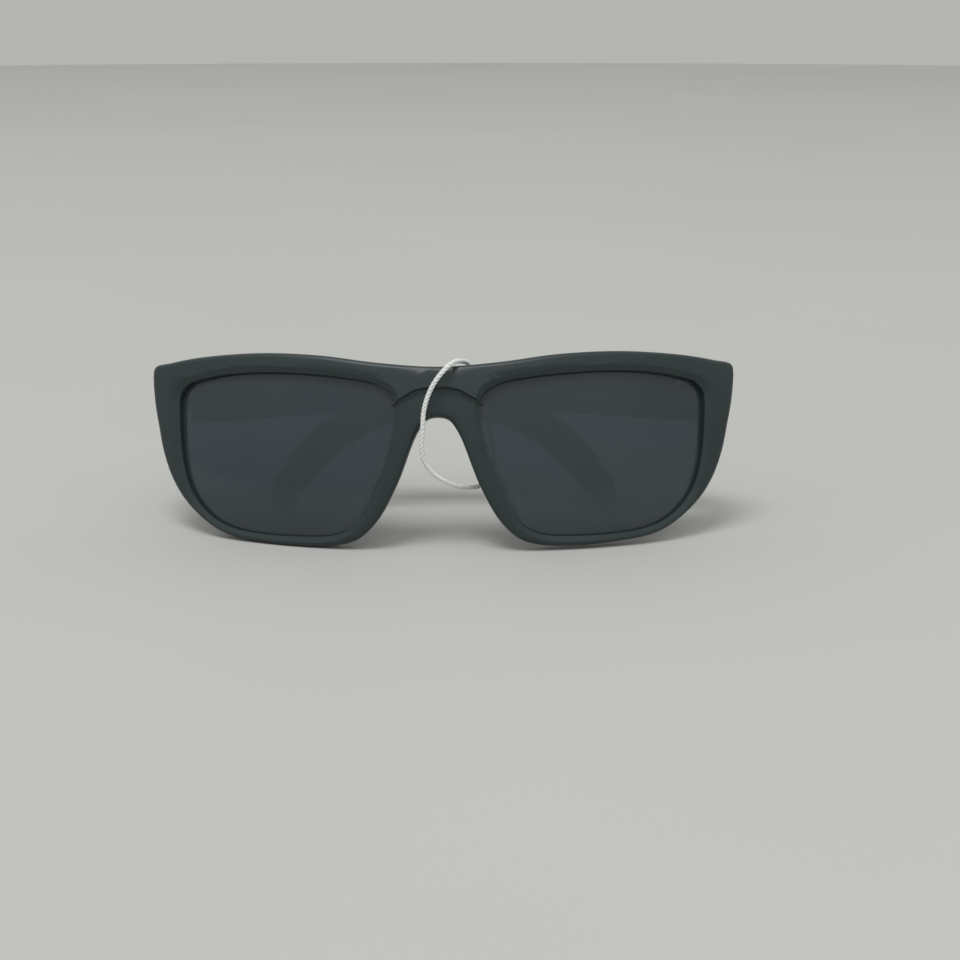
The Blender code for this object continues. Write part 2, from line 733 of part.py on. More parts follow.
def build():
    for thing in list(bpy.data.objects):
        bpy.data.objects.remove(thing, do_unlink=True)
    black = material("moulded_black", BLACK, 0.42)
    smoke = material("smoke_lens", SMOKE, 0.08)
    rubber = material("soft_rubber", RUBBER, 0.75)
    steel = material("hinge_steel", STEEL, 0.3, metallic=1.0)
    white = material("white_cord", WHITE, 0.9)

    stance = empty("stance", None, (STANCE_X, STANCE_Y, STANCE_Z), (-LEAN, -ROLL, 0.0))
    frame = front_frame(black, stance)
    bottom, top = HINGE_MIDDLE - HINGE_HALF, HINGE_MIDDLE + HINGE_HALF
    low_middle = HINGE_MIDDLE - MIDDLE_KNUCKLE_HALF
    high_middle = HINGE_MIDDLE + MIDDLE_KNUCKLE_HALF
    front_knuckles = [(bottom, low_middle - KNUCKLE_GAP), (high_middle + KNUCKLE_GAP, top)]
    for hand, side, fold in (("left", 1.0, FOLD_LEFT), ("right", -1.0, -FOLD_RIGHT)):
        lens(side, f"lens_{hand}", smoke, stance)
        nose_pad(side, f"nose_pad_{hand}", rubber, stance)
        axis = empty(f"axis_{hand}", stance, (side * AXIS_X, AXIS_Y, 0.0))
        turn = empty(f"turn_{hand}", stance, (side * AXIS_X, AXIS_Y, 0.0), (0.0, 0.0, fold))
        leaf(side, f"hinge_front_leaf_{hand}", steel, axis, -1, front_knuckles)
        for level, place in rivet_places(-1).items():
            rivet(side, f"front_rivet_{level}_{hand}", steel, axis, place)
        rivet_holes(frame, side, axis, -1)
        screw(f"hinge_screw_{hand}", steel, axis)
        leaf(side, f"hinge_temple_leaf_{hand}", steel, turn, 1, [(low_middle, high_middle)])
        for level, place in rivet_places(1).items():
            rivet(side, f"temple_rivet_{level}_{hand}", steel, turn, place)
        arm = temple_arm(side, f"temple_arm_{hand}", black, turn)
        rivet_holes(arm, side, turn, 1)
        ear_sleeve(side, f"ear_sleeve_{hand}", rubber, turn)
    tag_cord("tag_cord", white, stance)
    cord_knot("cord_knot", white, stance)


build()
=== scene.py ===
"""The looks of the wraparound sport sunglasses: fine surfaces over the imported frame, their materials,
a plain pale floor, soft studio light and the camera.

The front is drawn in its own upright frame, as in the CAD model: x across, y back from the bridge, z up.
Everything is in metres, and left is the wearer's left, on +X.
"""

import math

import bmesh
import bpy
import numpy as np
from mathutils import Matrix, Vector


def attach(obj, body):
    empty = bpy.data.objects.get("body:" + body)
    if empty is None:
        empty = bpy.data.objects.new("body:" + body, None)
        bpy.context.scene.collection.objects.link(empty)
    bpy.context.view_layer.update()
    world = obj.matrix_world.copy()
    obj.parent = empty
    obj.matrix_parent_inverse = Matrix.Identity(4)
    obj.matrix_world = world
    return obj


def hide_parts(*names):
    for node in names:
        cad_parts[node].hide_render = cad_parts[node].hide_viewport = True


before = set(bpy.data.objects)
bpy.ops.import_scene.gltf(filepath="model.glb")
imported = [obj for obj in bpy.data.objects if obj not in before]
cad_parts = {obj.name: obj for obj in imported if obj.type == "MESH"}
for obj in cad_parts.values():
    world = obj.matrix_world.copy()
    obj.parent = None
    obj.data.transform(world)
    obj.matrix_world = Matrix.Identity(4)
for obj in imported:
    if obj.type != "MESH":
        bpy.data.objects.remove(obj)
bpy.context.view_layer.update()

# How the object stands
LEAN = math.radians(13.0)
ROLL = math.radians(0.66)
STANCE = np.array([0.00017, -0.02011, 0.02356])

# The curved surface that the front is drawn on
WRAP_SQUARE = 3.0
WRAP_FOURTH = 295.0
CROWN_RADIUS = 0.100

# Heights of the rim's faces along the surface's normal, where minus is forward
FACE = -0.0016
BACK = 0.0024
BROW_RAISE = 0.0011
FACE_ROUND = 0.0012
BACK_ROUND = 0.0005
BEVEL_WIDTH = 0.0012
BEVEL_DROP = 0.0006
GROOVE_FRONT = -0.0005
GROOVE_BACK = 0.0017
GROOVE_DEPTH = 0.0010
LENS_FRONT = -0.0002
LENS_BACK = 0.0014
LENS_OVERLAP = 0.0007
LENS_EDGE_ROUND = 0.0002

# Hinges: the axis, and distances outward from it
AXIS_X = 0.0635
AXIS_Y = 0.0298
HINGE_GAP = 0.00015
INNER_FACE = 0.0018
OUTER_FACE = 0.0075
LEAF_INNER = 0.0007
LEAF_OUTER = 0.0015
LEAF_LENGTH = 0.0054
LEAF_CORNER = 0.0012
KNUCKLE_RADIUS = 0.0015
BORE_RADIUS = 0.00085
HINGE_MIDDLE = 0.0138
HINGE_HALF = 0.0035
MIDDLE_KNUCKLE_HALF = 0.00115
KNUCKLE_GAP = 0.00015
NECK_START = 0.0009
NECK_OVERLAP = 0.0005
RIVET_PLACE = 0.0033
RIVET_SPREAD = 0.0019
SOFT_EDGE = 0.0001
FOOT_ROUND = 0.0003
# The end pieces swell outward behind the face, from a distance across the front
SWELL = 0.00064
SWELL_START = 0.0650
SWELL_LENGTH = 0.0040
# A rivet's outline: distance outward and radius, from the crown of its head to the end of the shank
RIVET = [(-0.0001, 0.0), (-0.00008, 0.0003), (0.0, 0.0007), (0.00012, 0.00105), (0.00025, 0.00122)]
RIVET += [(0.0004, 0.00125), (0.0004, 0.0006), (0.0036, 0.0006), (0.0036, 0.0)]
# The screw's outline: height and radius, from the end of its shank to the floor of its slot
SCREW = [(0.0100, 0.0), (0.0100, 0.00045), (0.0101, 0.00055), (0.0176, 0.00055), (0.0176, 0.00102)]
SCREW += [(0.01768, 0.0011), (0.0179, 0.0011), (0.0179, 0.0)]
SCREW_TOP = 0.0183
SCREW_SLOT_HALF = 0.00022
# The radius that stands for a point where a rivet or screw ends
POINT_RADIUS = 0.00002
END_PIECE_BACK = AXIS_Y - HINGE_GAP
END_PIECE_INNER = AXIS_X + INNER_FACE

# Folded temples
FOLDS = {"left": math.radians(90.5), "right": math.radians(-85.4)}
TEMPLE_BOW = 0.0040
TEMPLE_REACH = 0.108
SLEEVE_START = 0.066
TONGUE_END = 0.088
TONGUE_INSET = 0.0010
TIP_ROUND = 0.0016
TIP_NARROWING = 0.45
ROLLED_EDGE = 0.00025
GAP = 0.0003
# The rings that soften the temple's end at the hinge: distance back, and how far they shrink
SOFT_END = [(0.0, 0.0004), (0.0001, 0.00012), (0.0004, 0.0)]

# Near the hinge the temple's section is squarer, and its outer face is undercut below a height
HINGE_END = 0.030
UNDERCUT = 0.08
UNDERCUT_TOP = 0.0198

# Grip ribs on the ear sleeves
GRIP_START = 0.0735
GRIP_END = 0.0900
GRIP_FADE = 0.002
GRIP_PITCH = 0.0016
GRIP_DEPTH = 0.00016

# Hang-tag cord
CORD_RADIUS = 0.0006
STRANDS = 3
STRAND_SHARE = 0.51
TWIST_LENGTH = 0.0032
KNOT_RADIUS = 0.00052
KNOT_SPREAD = 0.00072
KNOT_END = 0.0005

# Outer edge of the left half of the front, from the top of the bridge round to the nose arch
OUTER_EDGE = [
    (0.0000, 0.0197),
    (0.0140, 0.0207),
    (0.0280, 0.0226),
    (0.0427, 0.0234),
    (0.0578, 0.0227),
    (0.0651, 0.0217),
    (0.0656, 0.0216),
    (0.0694, 0.0210),
    (0.07022, 0.0200),
    (0.0700, 0.0130),
    (0.0690, 0.0071),
    (0.0689, 0.0067),
    (0.0675, -0.0004),
    (0.0648, -0.0075),
    (0.0603, -0.0135),
    (0.0525, -0.0192),
    (0.0420, -0.0215),
    (0.0304, -0.0224),
    (0.0230, -0.0219),
    (0.0190, -0.0206),
    (0.0146, -0.0165),
    (0.0099, -0.0081),
    (0.0050, 0.0042),
    (0.0026, 0.0075),
    (0.0000, 0.0081),
]
# Edge of the left lens opening, from its upper nasal corner round to the same corner
LENS_EDGE = [
    (0.0104, 0.0128),
    (0.0137, 0.0155),
    (0.0215, 0.0173),
    (0.0410, 0.0189),
    (0.0535, 0.0182),
    (0.0605, 0.0166),
    (0.0608, 0.0164),
    (0.0628, 0.0140),
    (0.0631, 0.0073),
    (0.0631, 0.0069),
    (0.0623, -0.0027),
    (0.0600, -0.0098),
    (0.0550, -0.0155),
    (0.0483, -0.0185),
    (0.0310, -0.0200),
    (0.0240, -0.0194),
    (0.0200, -0.0174),
    (0.0160, -0.0118),
    (0.0123, -0.0026),
    (0.0103, 0.0052),
    (0.0098, 0.0090),
]
# Stretches of the rim: first and last point of each edge, number of steps, and how far the brow is raised
STRETCHES = [
    ("brow", 0, 5, 0, 5, 60, 1.0, 1.0),
    ("end piece top", 6, 8, 6, 7, 12, 1.0, 1.0),
    ("end piece side", 8, 10, 7, 8, 12, 1.0, 0.7),
    ("temple side", 11, 13, 9, 10, 14, 0.7, 0.3),
    ("bottom", 13, 19, 10, 16, 40, 0.3, 0.0),
    ("nose side", 19, 24, 16, 20, 36, 0.0, 0.0),
]
CORNER_STEPS = 60
ARCH_BULGE = 0.0013
ARCH_HALF = 0.012
CREASE_HEIGHT = 0.0141
CREASE_WIDTH = 0.0007
# Steps of height up the centre line: from the nose arch, through the crease, and down from the top
ABOVE_ARCH = (0.00005, 0.0002, 0.0005, 0.0009, 0.0014, 0.0024, 0.0036, 0.0050, 0.0062)
THROUGH_CREASE = (-0.2, 0.0, 0.25, 0.5, 0.75, 1.0, 1.2)
BELOW_TOP = (0.0033, 0.0024, 0.0018, 0.0012, 0.0007, 0.0004, 0.0002, 0.00005)

# Columns of the rim's section, as shares of the bevel, of the rounded edge and of the width
BEVEL_COLUMNS = (0.0, 0.12, 0.3, 0.7, 0.97, 1.03)
ROUND_COLUMNS = (1.3, 1.0, 0.8, 0.62, 0.45, 0.3, 0.16, 0.05, 0.0)
MIDDLE_COLUMNS = (0.42, 0.55)
FACE_COLUMNS = len(BEVEL_COLUMNS) + len(ROUND_COLUMNS) + len(MIDDLE_COLUMNS)
WALL_COLUMNS = 4
# Columns from an end piece's inner edge at the back to the end of its section
INSIDE_COLUMNS = 9
END_ROUND = 0.0003
# Rings of the lens's front and back, as shares of its outline
LENS_RINGS = (0.12, 0.25, 0.4, 0.55, 0.7, 0.82, 0.92, 0.98, 1.0)

# Temple's centre line: distance back, height, half height and thickness
TEMPLE_LINE = [
    (0.00015, 0.0138, 0.0066, 0.0057),
    (0.0095, 0.0139, 0.0064, 0.0056),
    (0.0220, 0.0142, 0.0056, 0.0042),
    (0.0450, 0.0144, 0.0045, 0.0034),
    (0.0660, 0.0131, 0.0040, 0.0032),
    (0.0820, 0.0091, 0.0041, 0.0034),
    (0.0935, 0.0020, 0.0042, 0.0036),
    (0.1005, -0.0056, 0.0040, 0.0035),
    (0.1042, -0.0117, 0.0033, 0.0031),
    (0.1056, -0.0142, 0.0020, 0.0022),
]

# Nose pads: the ends of the middle of their front faces, and their section
PAD_LOW = (0.0168, 0.0051, -0.0176)
PAD_HIGH = (0.0086, 0.0030, -0.0016)
PAD_HALF_WIDTH = 0.0010
PAD_DEPTH = 0.0046
PAD_FLARE = 0.55
PAD_STEPS = 32
# The visual pad's share of the solid's depth
PAD_TRIM = 0.99

# Route of the hang-tag cord, from the top of its knot over the bridge, down the front and back up behind
CORD_ROUTE = [
    (0.0087, 0.0066, 0.0158),
    (0.0083, 0.0064, 0.0183),
    (0.0072, 0.0048, 0.0207),
    (0.0053, 0.0010, 0.0213),
    (0.0034, -0.0024, 0.0206),
    (0.0012, -0.0038, 0.0184),
    (-0.0006, -0.0038, 0.0160),
    (-0.0021, -0.0033, 0.0130),
    (-0.0031, -0.0028, 0.0094),
    (-0.0034, -0.0024, 0.0058),
    (-0.0037, -0.0016, 0.0014),
    (-0.0032, -0.0004, -0.0022),
    (-0.0012, 0.0011, -0.0051),
    (0.0022, 0.0032, -0.0074),
    (0.0062, 0.0066, -0.0086),
    (0.0100, 0.0100, -0.0081),
    (0.0126, 0.0114, -0.0050),
    (0.0128, 0.0106, 0.0000),
    (0.0116, 0.0088, 0.0066),
    (0.0098, 0.0070, 0.0122),
]

# Camera, as seen from the bridge
CAMERA_AZIMUTH = math.radians(3.0)
CAMERA_HEIGHT = math.radians(13.6)
CAMERA_DISTANCE = 0.450
CAMERA_AIM_RIGHT = 0.0099
CAMERA_AIM_DOWN = 0.0067
FOCAL_LENGTH = 71.7

# Light: place, the point it is aimed at, disc width and power
LIGHT_AIM = (0.0, 0.0, 0.02)
KEY_PLACE = (-0.5, -1.1, 3.4)
KEY_SIZE = 1.6
KEY_POWER = 60.0
SHEEN_PLACE = (0.3, -1.7, 1.75)
SHEEN_SIZE = 0.9
SHEEN_POWER = 3.0
ROOM_LOW = (0.455, 0.463, 0.438, 1.0)
ROOM_HIGH = (0.66, 0.67, 0.66, 1.0)
FLOOR_RADIUS = 3.0

# Base colours of the moulded plastic
PLASTIC_DARK = (0.0160, 0.0265, 0.0285)
PLASTIC_LIGHT = (0.0205, 0.0325, 0.0345)


# ---------------------------------------------------------------- shapes


def stand(point):
    """A point of the front's upright frame, in the row's frame."""
    x, y, z = point
    y, z = y * math.cos(LEAN) + z * math.sin(LEAN), z * math.cos(LEAN) - y * math.sin(LEAN)
    x, z = x * math.cos(ROLL) - z * math.sin(ROLL), z * math.cos(ROLL) + x * math.sin(ROLL)
    return STANCE + np.array([x, y, z])


def fold(hand, point):
    """A point of an open temple, measured from its hinge axis, in the front's upright frame."""
    side = 1.0 if hand == "left" else -1.0
    turn = FOLDS[hand]
    x = point[0] * math.cos(turn) - point[1] * math.sin(turn)
    y = point[0] * math.sin(turn) + point[1] * math.cos(turn)
    return np.array([side * AXIS_X + x, AXIS_Y + y, point[2]])


def spline(points, steps, before=None, after=None, plane=2):
    """A smooth curve with steps between neighbouring points, spaced by their first plane coordinates."""
    points = [np.array(point, dtype=float) for point in points]
    first = points[0] * 2 - points[1] if before is None else np.array(before, dtype=float)
    last = points[-1] * 2 - points[-2] if after is None else np.array(after, dtype=float)
    line = [first, *points, last]
    samples = []
    for a, b, c, d in zip(line, line[1:], line[2:], line[3:]):
        spans = [np.linalg.norm(q[:plane] - p[:plane]) for p, q in ((a, b), (b, c), (c, d))]
        reach = [math.sqrt(max(span, 1e-9)) for span in spans]
        leave = (b - a) / reach[0] - (c - a) / (reach[0] + reach[1]) + (c - b) / reach[1]
        arrive = (c - b) / reach[1] - (d - b) / (reach[1] + reach[2]) + (d - c) / reach[2]
        leave = leave * reach[1]
        arrive = arrive * reach[1]
        for step in range(steps):
            s = step / steps
            samples.append(
                (2 * s**3 - 3 * s**2 + 1) * b
                + (s**3 - 2 * s**2 + s) * leave
                + (3 * s**2 - 2 * s**3) * c
                + (s**3 - s**2) * arrive
            )
    samples.append(points[-1])
    return np.array(samples)


def even(samples, count):
    """The curve again, with count equal steps."""
    lengths = np.concatenate([[0.0], np.cumsum(np.linalg.norm(np.diff(samples, axis=0), axis=1))])
    wanted = np.linspace(0.0, lengths[-1], count + 1)
    return np.column_stack([np.interp(wanted, lengths, samples[:, k]) for k in range(samples.shape[1])])


def distance_to(curve, point):
    """The distance from a point to a curve in the plane of the front."""
    start = curve[:-1]
    along = curve[1:] - start
    share = np.sum((point - start) * along, axis=1) / np.maximum(np.sum(along**2, axis=1), 1e-18)
    nearest = start + along * np.clip(share, 0.0, 1.0)[:, None]
    return float(np.min(np.linalg.norm(nearest - point, axis=1)))


def surface(x, z, height=0.0):
    """The point at a height along the normal of the front's curved surface."""
    y = WRAP_SQUARE * x**2 + WRAP_FOURTH * x**4 + z**2 / (2 * CROWN_RADIUS)
    normal = np.array([-2 * WRAP_SQUARE * x - 4 * WRAP_FOURTH * x**3, 1.0, -z / CROWN_RADIUS])
    return np.array([x, y, z]) + height * normal / np.linalg.norm(normal)


def rounding(distance, radius):
    """How far a rounded edge falls away at a distance from it."""
    share = max(0.0, 1.0 - distance / radius)
    return radius * (1.0 - math.sqrt(max(0.0, 1.0 - share**2)))


def smooth(share):
    """An S-shaped step from 0 to 1."""
    share = min(1.0, max(0.0, share))
    return share * share * (3.0 - 2.0 * share)


STEPS = 12
MIRRORED = [(-x, z) for x, z in OUTER_EDGE]
OUTER = spline(OUTER_EDGE, STEPS, before=MIRRORED[1], after=MIRRORED[-2])
INNER = spline([*LENS_EDGE, LENS_EDGE[0]], STEPS, before=LENS_EDGE[-1], after=LENS_EDGE[1])


def centre_heights():
    """Heights up the centre line of the bridge, closest together at its edges and across the crease."""
    arch, top = OUTER_EDGE[-1][1], OUTER_EDGE[0][1]
    below = [arch + step for step in ABOVE_ARCH]
    crease = [CREASE_HEIGHT + CREASE_WIDTH * step for step in THROUGH_CREASE]
    above = [top - step for step in BELOW_TOP]
    return below + crease + above


def rim_stations():
    """Pairs of an inner and an outer point round the left rim, with the brow's share and the stretch."""
    stations = []
    for name, out_first, out_last, in_first, in_last, count, share_first, share_last in STRETCHES:
        outer = even(OUTER[out_first * STEPS : out_last * STEPS + 1], count)
        inner = even(INNER[in_first * STEPS : in_last * STEPS + 1], count)
        follows = bool(stations) and np.allclose(stations[-1][1], outer[0])
        for k in range(1 if follows else 0, count + 1):
            share = share_first + (share_last - share_first) * k / count
            stations.append((inner[k], outer[k], share, name))
    nasal_corner = even(INNER[20 * STEPS :], CORNER_STEPS)
    arch = OUTER_EDGE[-1][1]
    top = OUTER_EDGE[0][1]
    for height in centre_heights():
        place = (height - arch) / (top - arch) * CORNER_STEPS
        low = nasal_corner[int(place)]
        high = nasal_corner[min(int(place) + 1, CORNER_STEPS)]
        inner = low + (high - low) * (place - int(place))
        share = smooth((height - CREASE_HEIGHT) / CREASE_WIDTH)
        stations.append((inner, np.array([0.0, height]), share, "centre"))
    return stations


def across(station, share):
    """A point on the line from the lens opening to the outer edge, arched over the nose near the centre."""
    inner, outer, _, name = station
    bulge = 0.0
    if name == "centre" or (name in ("brow", "nose side") and outer[0] < ARCH_HALF):
        bulge = ARCH_BULGE * smooth(1.0 - outer[0] / ARCH_HALF)
    return inner + (outer - inner) * share + np.array([0.0, 4.0 * bulge * share * (1.0 - share)])


def face_point(station, share):
    point = across(station, share)
    raised = station[2] * BROW_RAISE
    drop = rounding(distance_to(OUTER, point), FACE_ROUND)
    near = distance_to(INNER, point)
    bevel = BEVEL_DROP * max(0.0, 1.0 - near / BEVEL_WIDTH) * (1.0 + 0.8 * station[2])
    return surface(*point, FACE - raised + drop + bevel)


def back_point(station, share):
    point = across(station, share)
    fall = rounding(distance_to(OUTER, point), BACK_ROUND) + rounding(distance_to(INNER, point), BACK_ROUND)
    return surface(*point, BACK - fall)


def straight_back(point, y, outward=0.0):
    return np.array([point[0] + outward, y, point[1]])


def rim_section(station):
    """The outline of the rim's section, from the lens opening forward, outward, back and inward."""
    inner, outer, _, name = station
    width = float(np.linalg.norm(outer - inner))
    slant = min(2.0, max(1.0, width / distance_to(OUTER, inner)))
    shares = [BEVEL_WIDTH / width * s for s in BEVEL_COLUMNS]
    shares += [1.0 - slant * FACE_ROUND / width * s for s in ROUND_COLUMNS]
    shares += MIDDLE_COLUMNS
    section = [face_point(station, share) for share in sorted(shares)]
    if name.startswith("end piece"):
        outward = SWELL * min(1.0, max(0.0, (outer[0] - SWELL_START) / SWELL_LENGTH))
        crossing = (END_PIECE_INNER - inner[0]) / (outer[0] - inner[0])
        root = back_point(station, crossing)
        root[0] = END_PIECE_INNER
        inner_edge = across(station, crossing)
        start = section[-1]
        end = straight_back(outer, END_PIECE_BACK - END_ROUND, outward)
        section += [start + (end - start) * s for s in (0.12, 0.4, 0.7)]
        section.append(end)
        section.append(straight_back(outer + (inner_edge - outer) * 0.05, END_PIECE_BACK, outward * 0.9))
        section.append(straight_back([END_PIECE_INNER + END_ROUND, inner_edge[1]], END_PIECE_BACK))
        section.append(straight_back([END_PIECE_INNER, inner_edge[1]], END_PIECE_BACK - END_ROUND))
        section.append(root)
    else:
        edge = section[-1]
        rear = back_point(station, 1.0)
        section += [edge + (rear - edge) * s for s in (0.25, 0.5, 0.75)]
        section.append(rear)
        section += [back_point(station, 1.0 - BACK_ROUND / width * s) for s in (0.2, 0.6)]
        section.append(back_point(station, 1.0 - BACK_ROUND / width))
        section.append(back_point(station, 0.6))
    section += [back_point(station, BACK_ROUND / width * s) for s in (1.0, 0.5, 0.15)]
    section.append(back_point(station, 0.0))
    return section


def groove_section(station, outward):
    """The part of the section inside the lens opening: a groove that holds the lens."""
    inner = station[0]
    deep = inner + outward * GROOVE_DEPTH
    return [
        surface(*inner, GROOVE_BACK),
        surface(*deep, GROOVE_BACK),
        surface(*deep, GROOVE_FRONT),
        surface(*inner, GROOVE_FRONT),
    ]


def outward_normals(points):
    """Unit normals of a closed loop of points, pointing away from its middle."""
    along = np.roll(points, -1, axis=0) - np.roll(points, 1, axis=0)
    normals = np.column_stack([-along[:, 1], along[:, 0]])
    normals /= np.linalg.norm(normals, axis=1)[:, None]
    if np.sum(normals * (points - points.mean(axis=0))) < 0:
        normals = -normals
    return normals


def finish(mesh, name, look, body, nodes, sharp=35.0):
    """Closes a bmesh, makes an object of it that rides on a body and stands for its CAD nodes."""
    bmesh.ops.recalc_face_normals(mesh, faces=mesh.faces)
    data = bpy.data.meshes.new(name)
    mesh.to_mesh(data)
    mesh.free()
    data.shade_smooth()
    data.set_sharp_from_angle(angle=math.radians(sharp))
    made = bpy.data.objects.new(name, data)
    bpy.context.scene.collection.objects.link(made)
    data.materials.append(look)
    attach(made, body)
    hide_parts(*nodes)
    return made


def bridge_rows(mesh, rows, closed=False, caps=(False, False)):
    """Quads between rings of vertices."""
    pairs = list(zip(rows, rows[1:]))
    if closed:
        pairs.append((rows[-1], rows[0]))
    for row, ahead in pairs:
        for k in range(len(row)):
            j = (k + 1) % len(row)
            mesh.faces.new((row[k], row[j], ahead[j], ahead[k]))
    if caps[0]:
        mesh.faces.new(rows[0])
    if caps[1]:
        mesh.faces.new(rows[-1])


def front(look):
    """The moulded front, drawn as its left half and mirrored."""
    stations = rim_stations()
    normals = outward_normals(np.array([station[0] for station in stations]))
    sections = [rim_section(s) + groove_section(s, n) for s, n in zip(stations, normals)]
    # The outer wall has no faces on the centre line, where the two halves meet
    wall = range(FACE_COLUMNS - 1, FACE_COLUMNS + WALL_COLUMNS - 1)
    mesh = bmesh.new()
    for side in (1.0, -1.0):
        rows = [[mesh.verts.new(stand((side * p[0], p[1], p[2]))) for p in section] for section in sections]
        for k, row in enumerate(rows):
            ahead = rows[(k + 1) % len(rows)]
            here, there = stations[k], stations[(k + 1) % len(rows)]
            on_centre = here[1][0] < 1e-6 and there[1][0] < 1e-6
            for column in range(len(row)):
                if on_centre and column in wall:
                    continue
                after = (column + 1) % len(row)
                mesh.faces.new((row[column], row[after], ahead[after], ahead[column]))
        # The bottom edge of the end piece, where its last section meets the rim, is rounded
        foot = rows[max(k for k, station in enumerate(stations) if station[3] == "end piece side")]
        columns = range(FACE_COLUMNS, len(foot) - INSIDE_COLUMNS)
        edges = [mesh.edges.get((foot[column], foot[column + 1])) for column in columns]
        bmesh.ops.bevel(mesh, geom=edges, offset=FOOT_ROUND, segments=3, profile=0.5, affect="EDGES")
    loose = [v for v in mesh.verts if not v.link_faces]
    bmesh.ops.delete(mesh, geom=loose, context="VERTS")
    bmesh.ops.remove_doubles(mesh, verts=mesh.verts, dist=1e-6)
    return finish(mesh, "front_moulding", look, "front", ["front_frame"])


def lens(hand, look):
    """A curved lens with a rounded edge that sits in the rim's groove."""
    side = 1.0 if hand == "left" else -1.0
    opening = even(INNER, 180)[:-1]
    normals = outward_normals(opening)
    middle = opening.mean(axis=0)
    thick = LENS_BACK - LENS_FRONT
    mesh = bmesh.new()

    def ring(inset, shrink, height):
        loop = opening + normals * (LENS_OVERLAP - inset)
        loop = middle + (loop - middle) * shrink
        places = [surface(*point, height) for point in loop]
        return [mesh.verts.new(stand((side * p[0], p[1], p[2]))) for p in places]

    rows = [ring(LENS_EDGE_ROUND, s, LENS_FRONT) for s in LENS_RINGS]
    rows.append(ring(LENS_EDGE_ROUND * 0.3, 1.0, LENS_FRONT + LENS_EDGE_ROUND * 0.3))
    rows.append(ring(0.0, 1.0, LENS_FRONT + LENS_EDGE_ROUND))
    rows.append(ring(0.0, 1.0, LENS_FRONT + thick / 2))
    rows.append(ring(0.0, 1.0, LENS_BACK - LENS_EDGE_ROUND))
    rows.append(ring(LENS_EDGE_ROUND * 0.3, 1.0, LENS_BACK - LENS_EDGE_ROUND * 0.3))
    rows += [ring(LENS_EDGE_ROUND, s, LENS_BACK) for s in LENS_RINGS[::-1]]
    bridge_rows(mesh, rows)
    for end, height in ((rows[0], LENS_FRONT), (rows[-1], LENS_BACK)):
        centre = surface(*middle, height)
        tip = mesh.verts.new(stand((side * centre[0], centre[1], centre[2])))
        for k in range(len(end)):
            mesh.faces.new((end[k], end[(k + 1) % len(end)], tip))
    return finish(mesh, f"lens_blank_{hand}", look, "front", [f"lens_{hand}"], 60.0)


def rounded(count, power):
    """Points round a rounded square that reaches 1 each way."""
    points = []
    for k in range(count):
        angle = 2 * math.pi * (k + 0.5) / count
        a, b = math.cos(angle), math.sin(angle)
        points.append((math.copysign(abs(a) ** (2 / power), a), math.copysign(abs(b) ** (2 / power), b)))
    return points


def temple_ring(hand, place, along, shrink=0.0, count=48):
    """A section of the temple square to its centre line."""
    side = 1.0 if hand == "left" else -1.0
    back, height, half, thick = place
    tangent = along / np.linalg.norm(along)
    up = np.array([-tangent[1], tangent[0]])
    bow = TEMPLE_BOW * (back / TEMPLE_REACH) ** 2
    near_hinge = max(0.0, 1.0 - back / HINGE_END)
    middle = OUTER_FACE - thick / 2 - bow
    ring = []
    for across_share, up_share in rounded(count, 3.0 + 4.0 * near_hinge):
        offset = up * up_share * (half - shrink)
        out = middle + across_share * (thick / 2 - shrink)
        below = max(0.0, UNDERCUT_TOP - height - offset[1])
        out -= UNDERCUT * near_hinge * below * (0.5 + 0.5 * across_share)
        ring.append(stand(fold(hand, (side * out, back + offset[0], height + offset[1]))))
    return ring


def temple_sections(first, last, step):
    """Evenly spaced places and directions on the temple's centre line, between two distances back."""
    line = spline(TEMPLE_LINE, 40)
    first = max(first, line[0, 0])
    last = min(last, line[-1, 0])
    between = line[(line[:, 0] > first) & (line[:, 0] < last), 0]
    cuts = np.concatenate([[first], between, [last]])
    part = np.column_stack([np.interp(cuts, line[:, 0], column) for column in line.T])
    lengths = np.concatenate([[0.0], np.cumsum(np.linalg.norm(np.diff(part[:, :2], axis=0), axis=1))])
    wanted = np.linspace(0.0, lengths[-1], max(2, round(lengths[-1] / step)) + 1)
    places = np.column_stack([np.interp(wanted, lengths, column) for column in part.T])
    directions = np.gradient(places[:, :2], axis=0)
    if first == line[0, 0]:
        directions[0] = (1.0, 0.0)
    return list(zip(places, directions))


def temple_arm(hand, look):
    """The hard arm with softened ends, narrowing to a tongue inside the ear sleeve."""
    shown = temple_sections(0.0, SLEEVE_START, 0.0015)
    place, along = shown[0]
    rings = []
    for shift, shrink in SOFT_END:
        rings.append(temple_ring(hand, place + np.array([shift, 0.0, 0.0, 0.0]), along, shrink))
    rings += [temple_ring(hand, *section) for section in shown[1:]]
    tongue = temple_sections(SLEEVE_START, TONGUE_END, 0.004)
    rings += [temple_ring(hand, *section, shrink=TONGUE_INSET) for section in tongue]
    mesh = bmesh.new()
    bridge_rows(mesh, [[mesh.verts.new(p) for p in ring] for ring in rings], caps=(True, True))
    body, node = f"temple_{hand}", f"temple_arm_{hand}"
    return finish(mesh, f"temple_moulding_{hand}", look, body, [node])


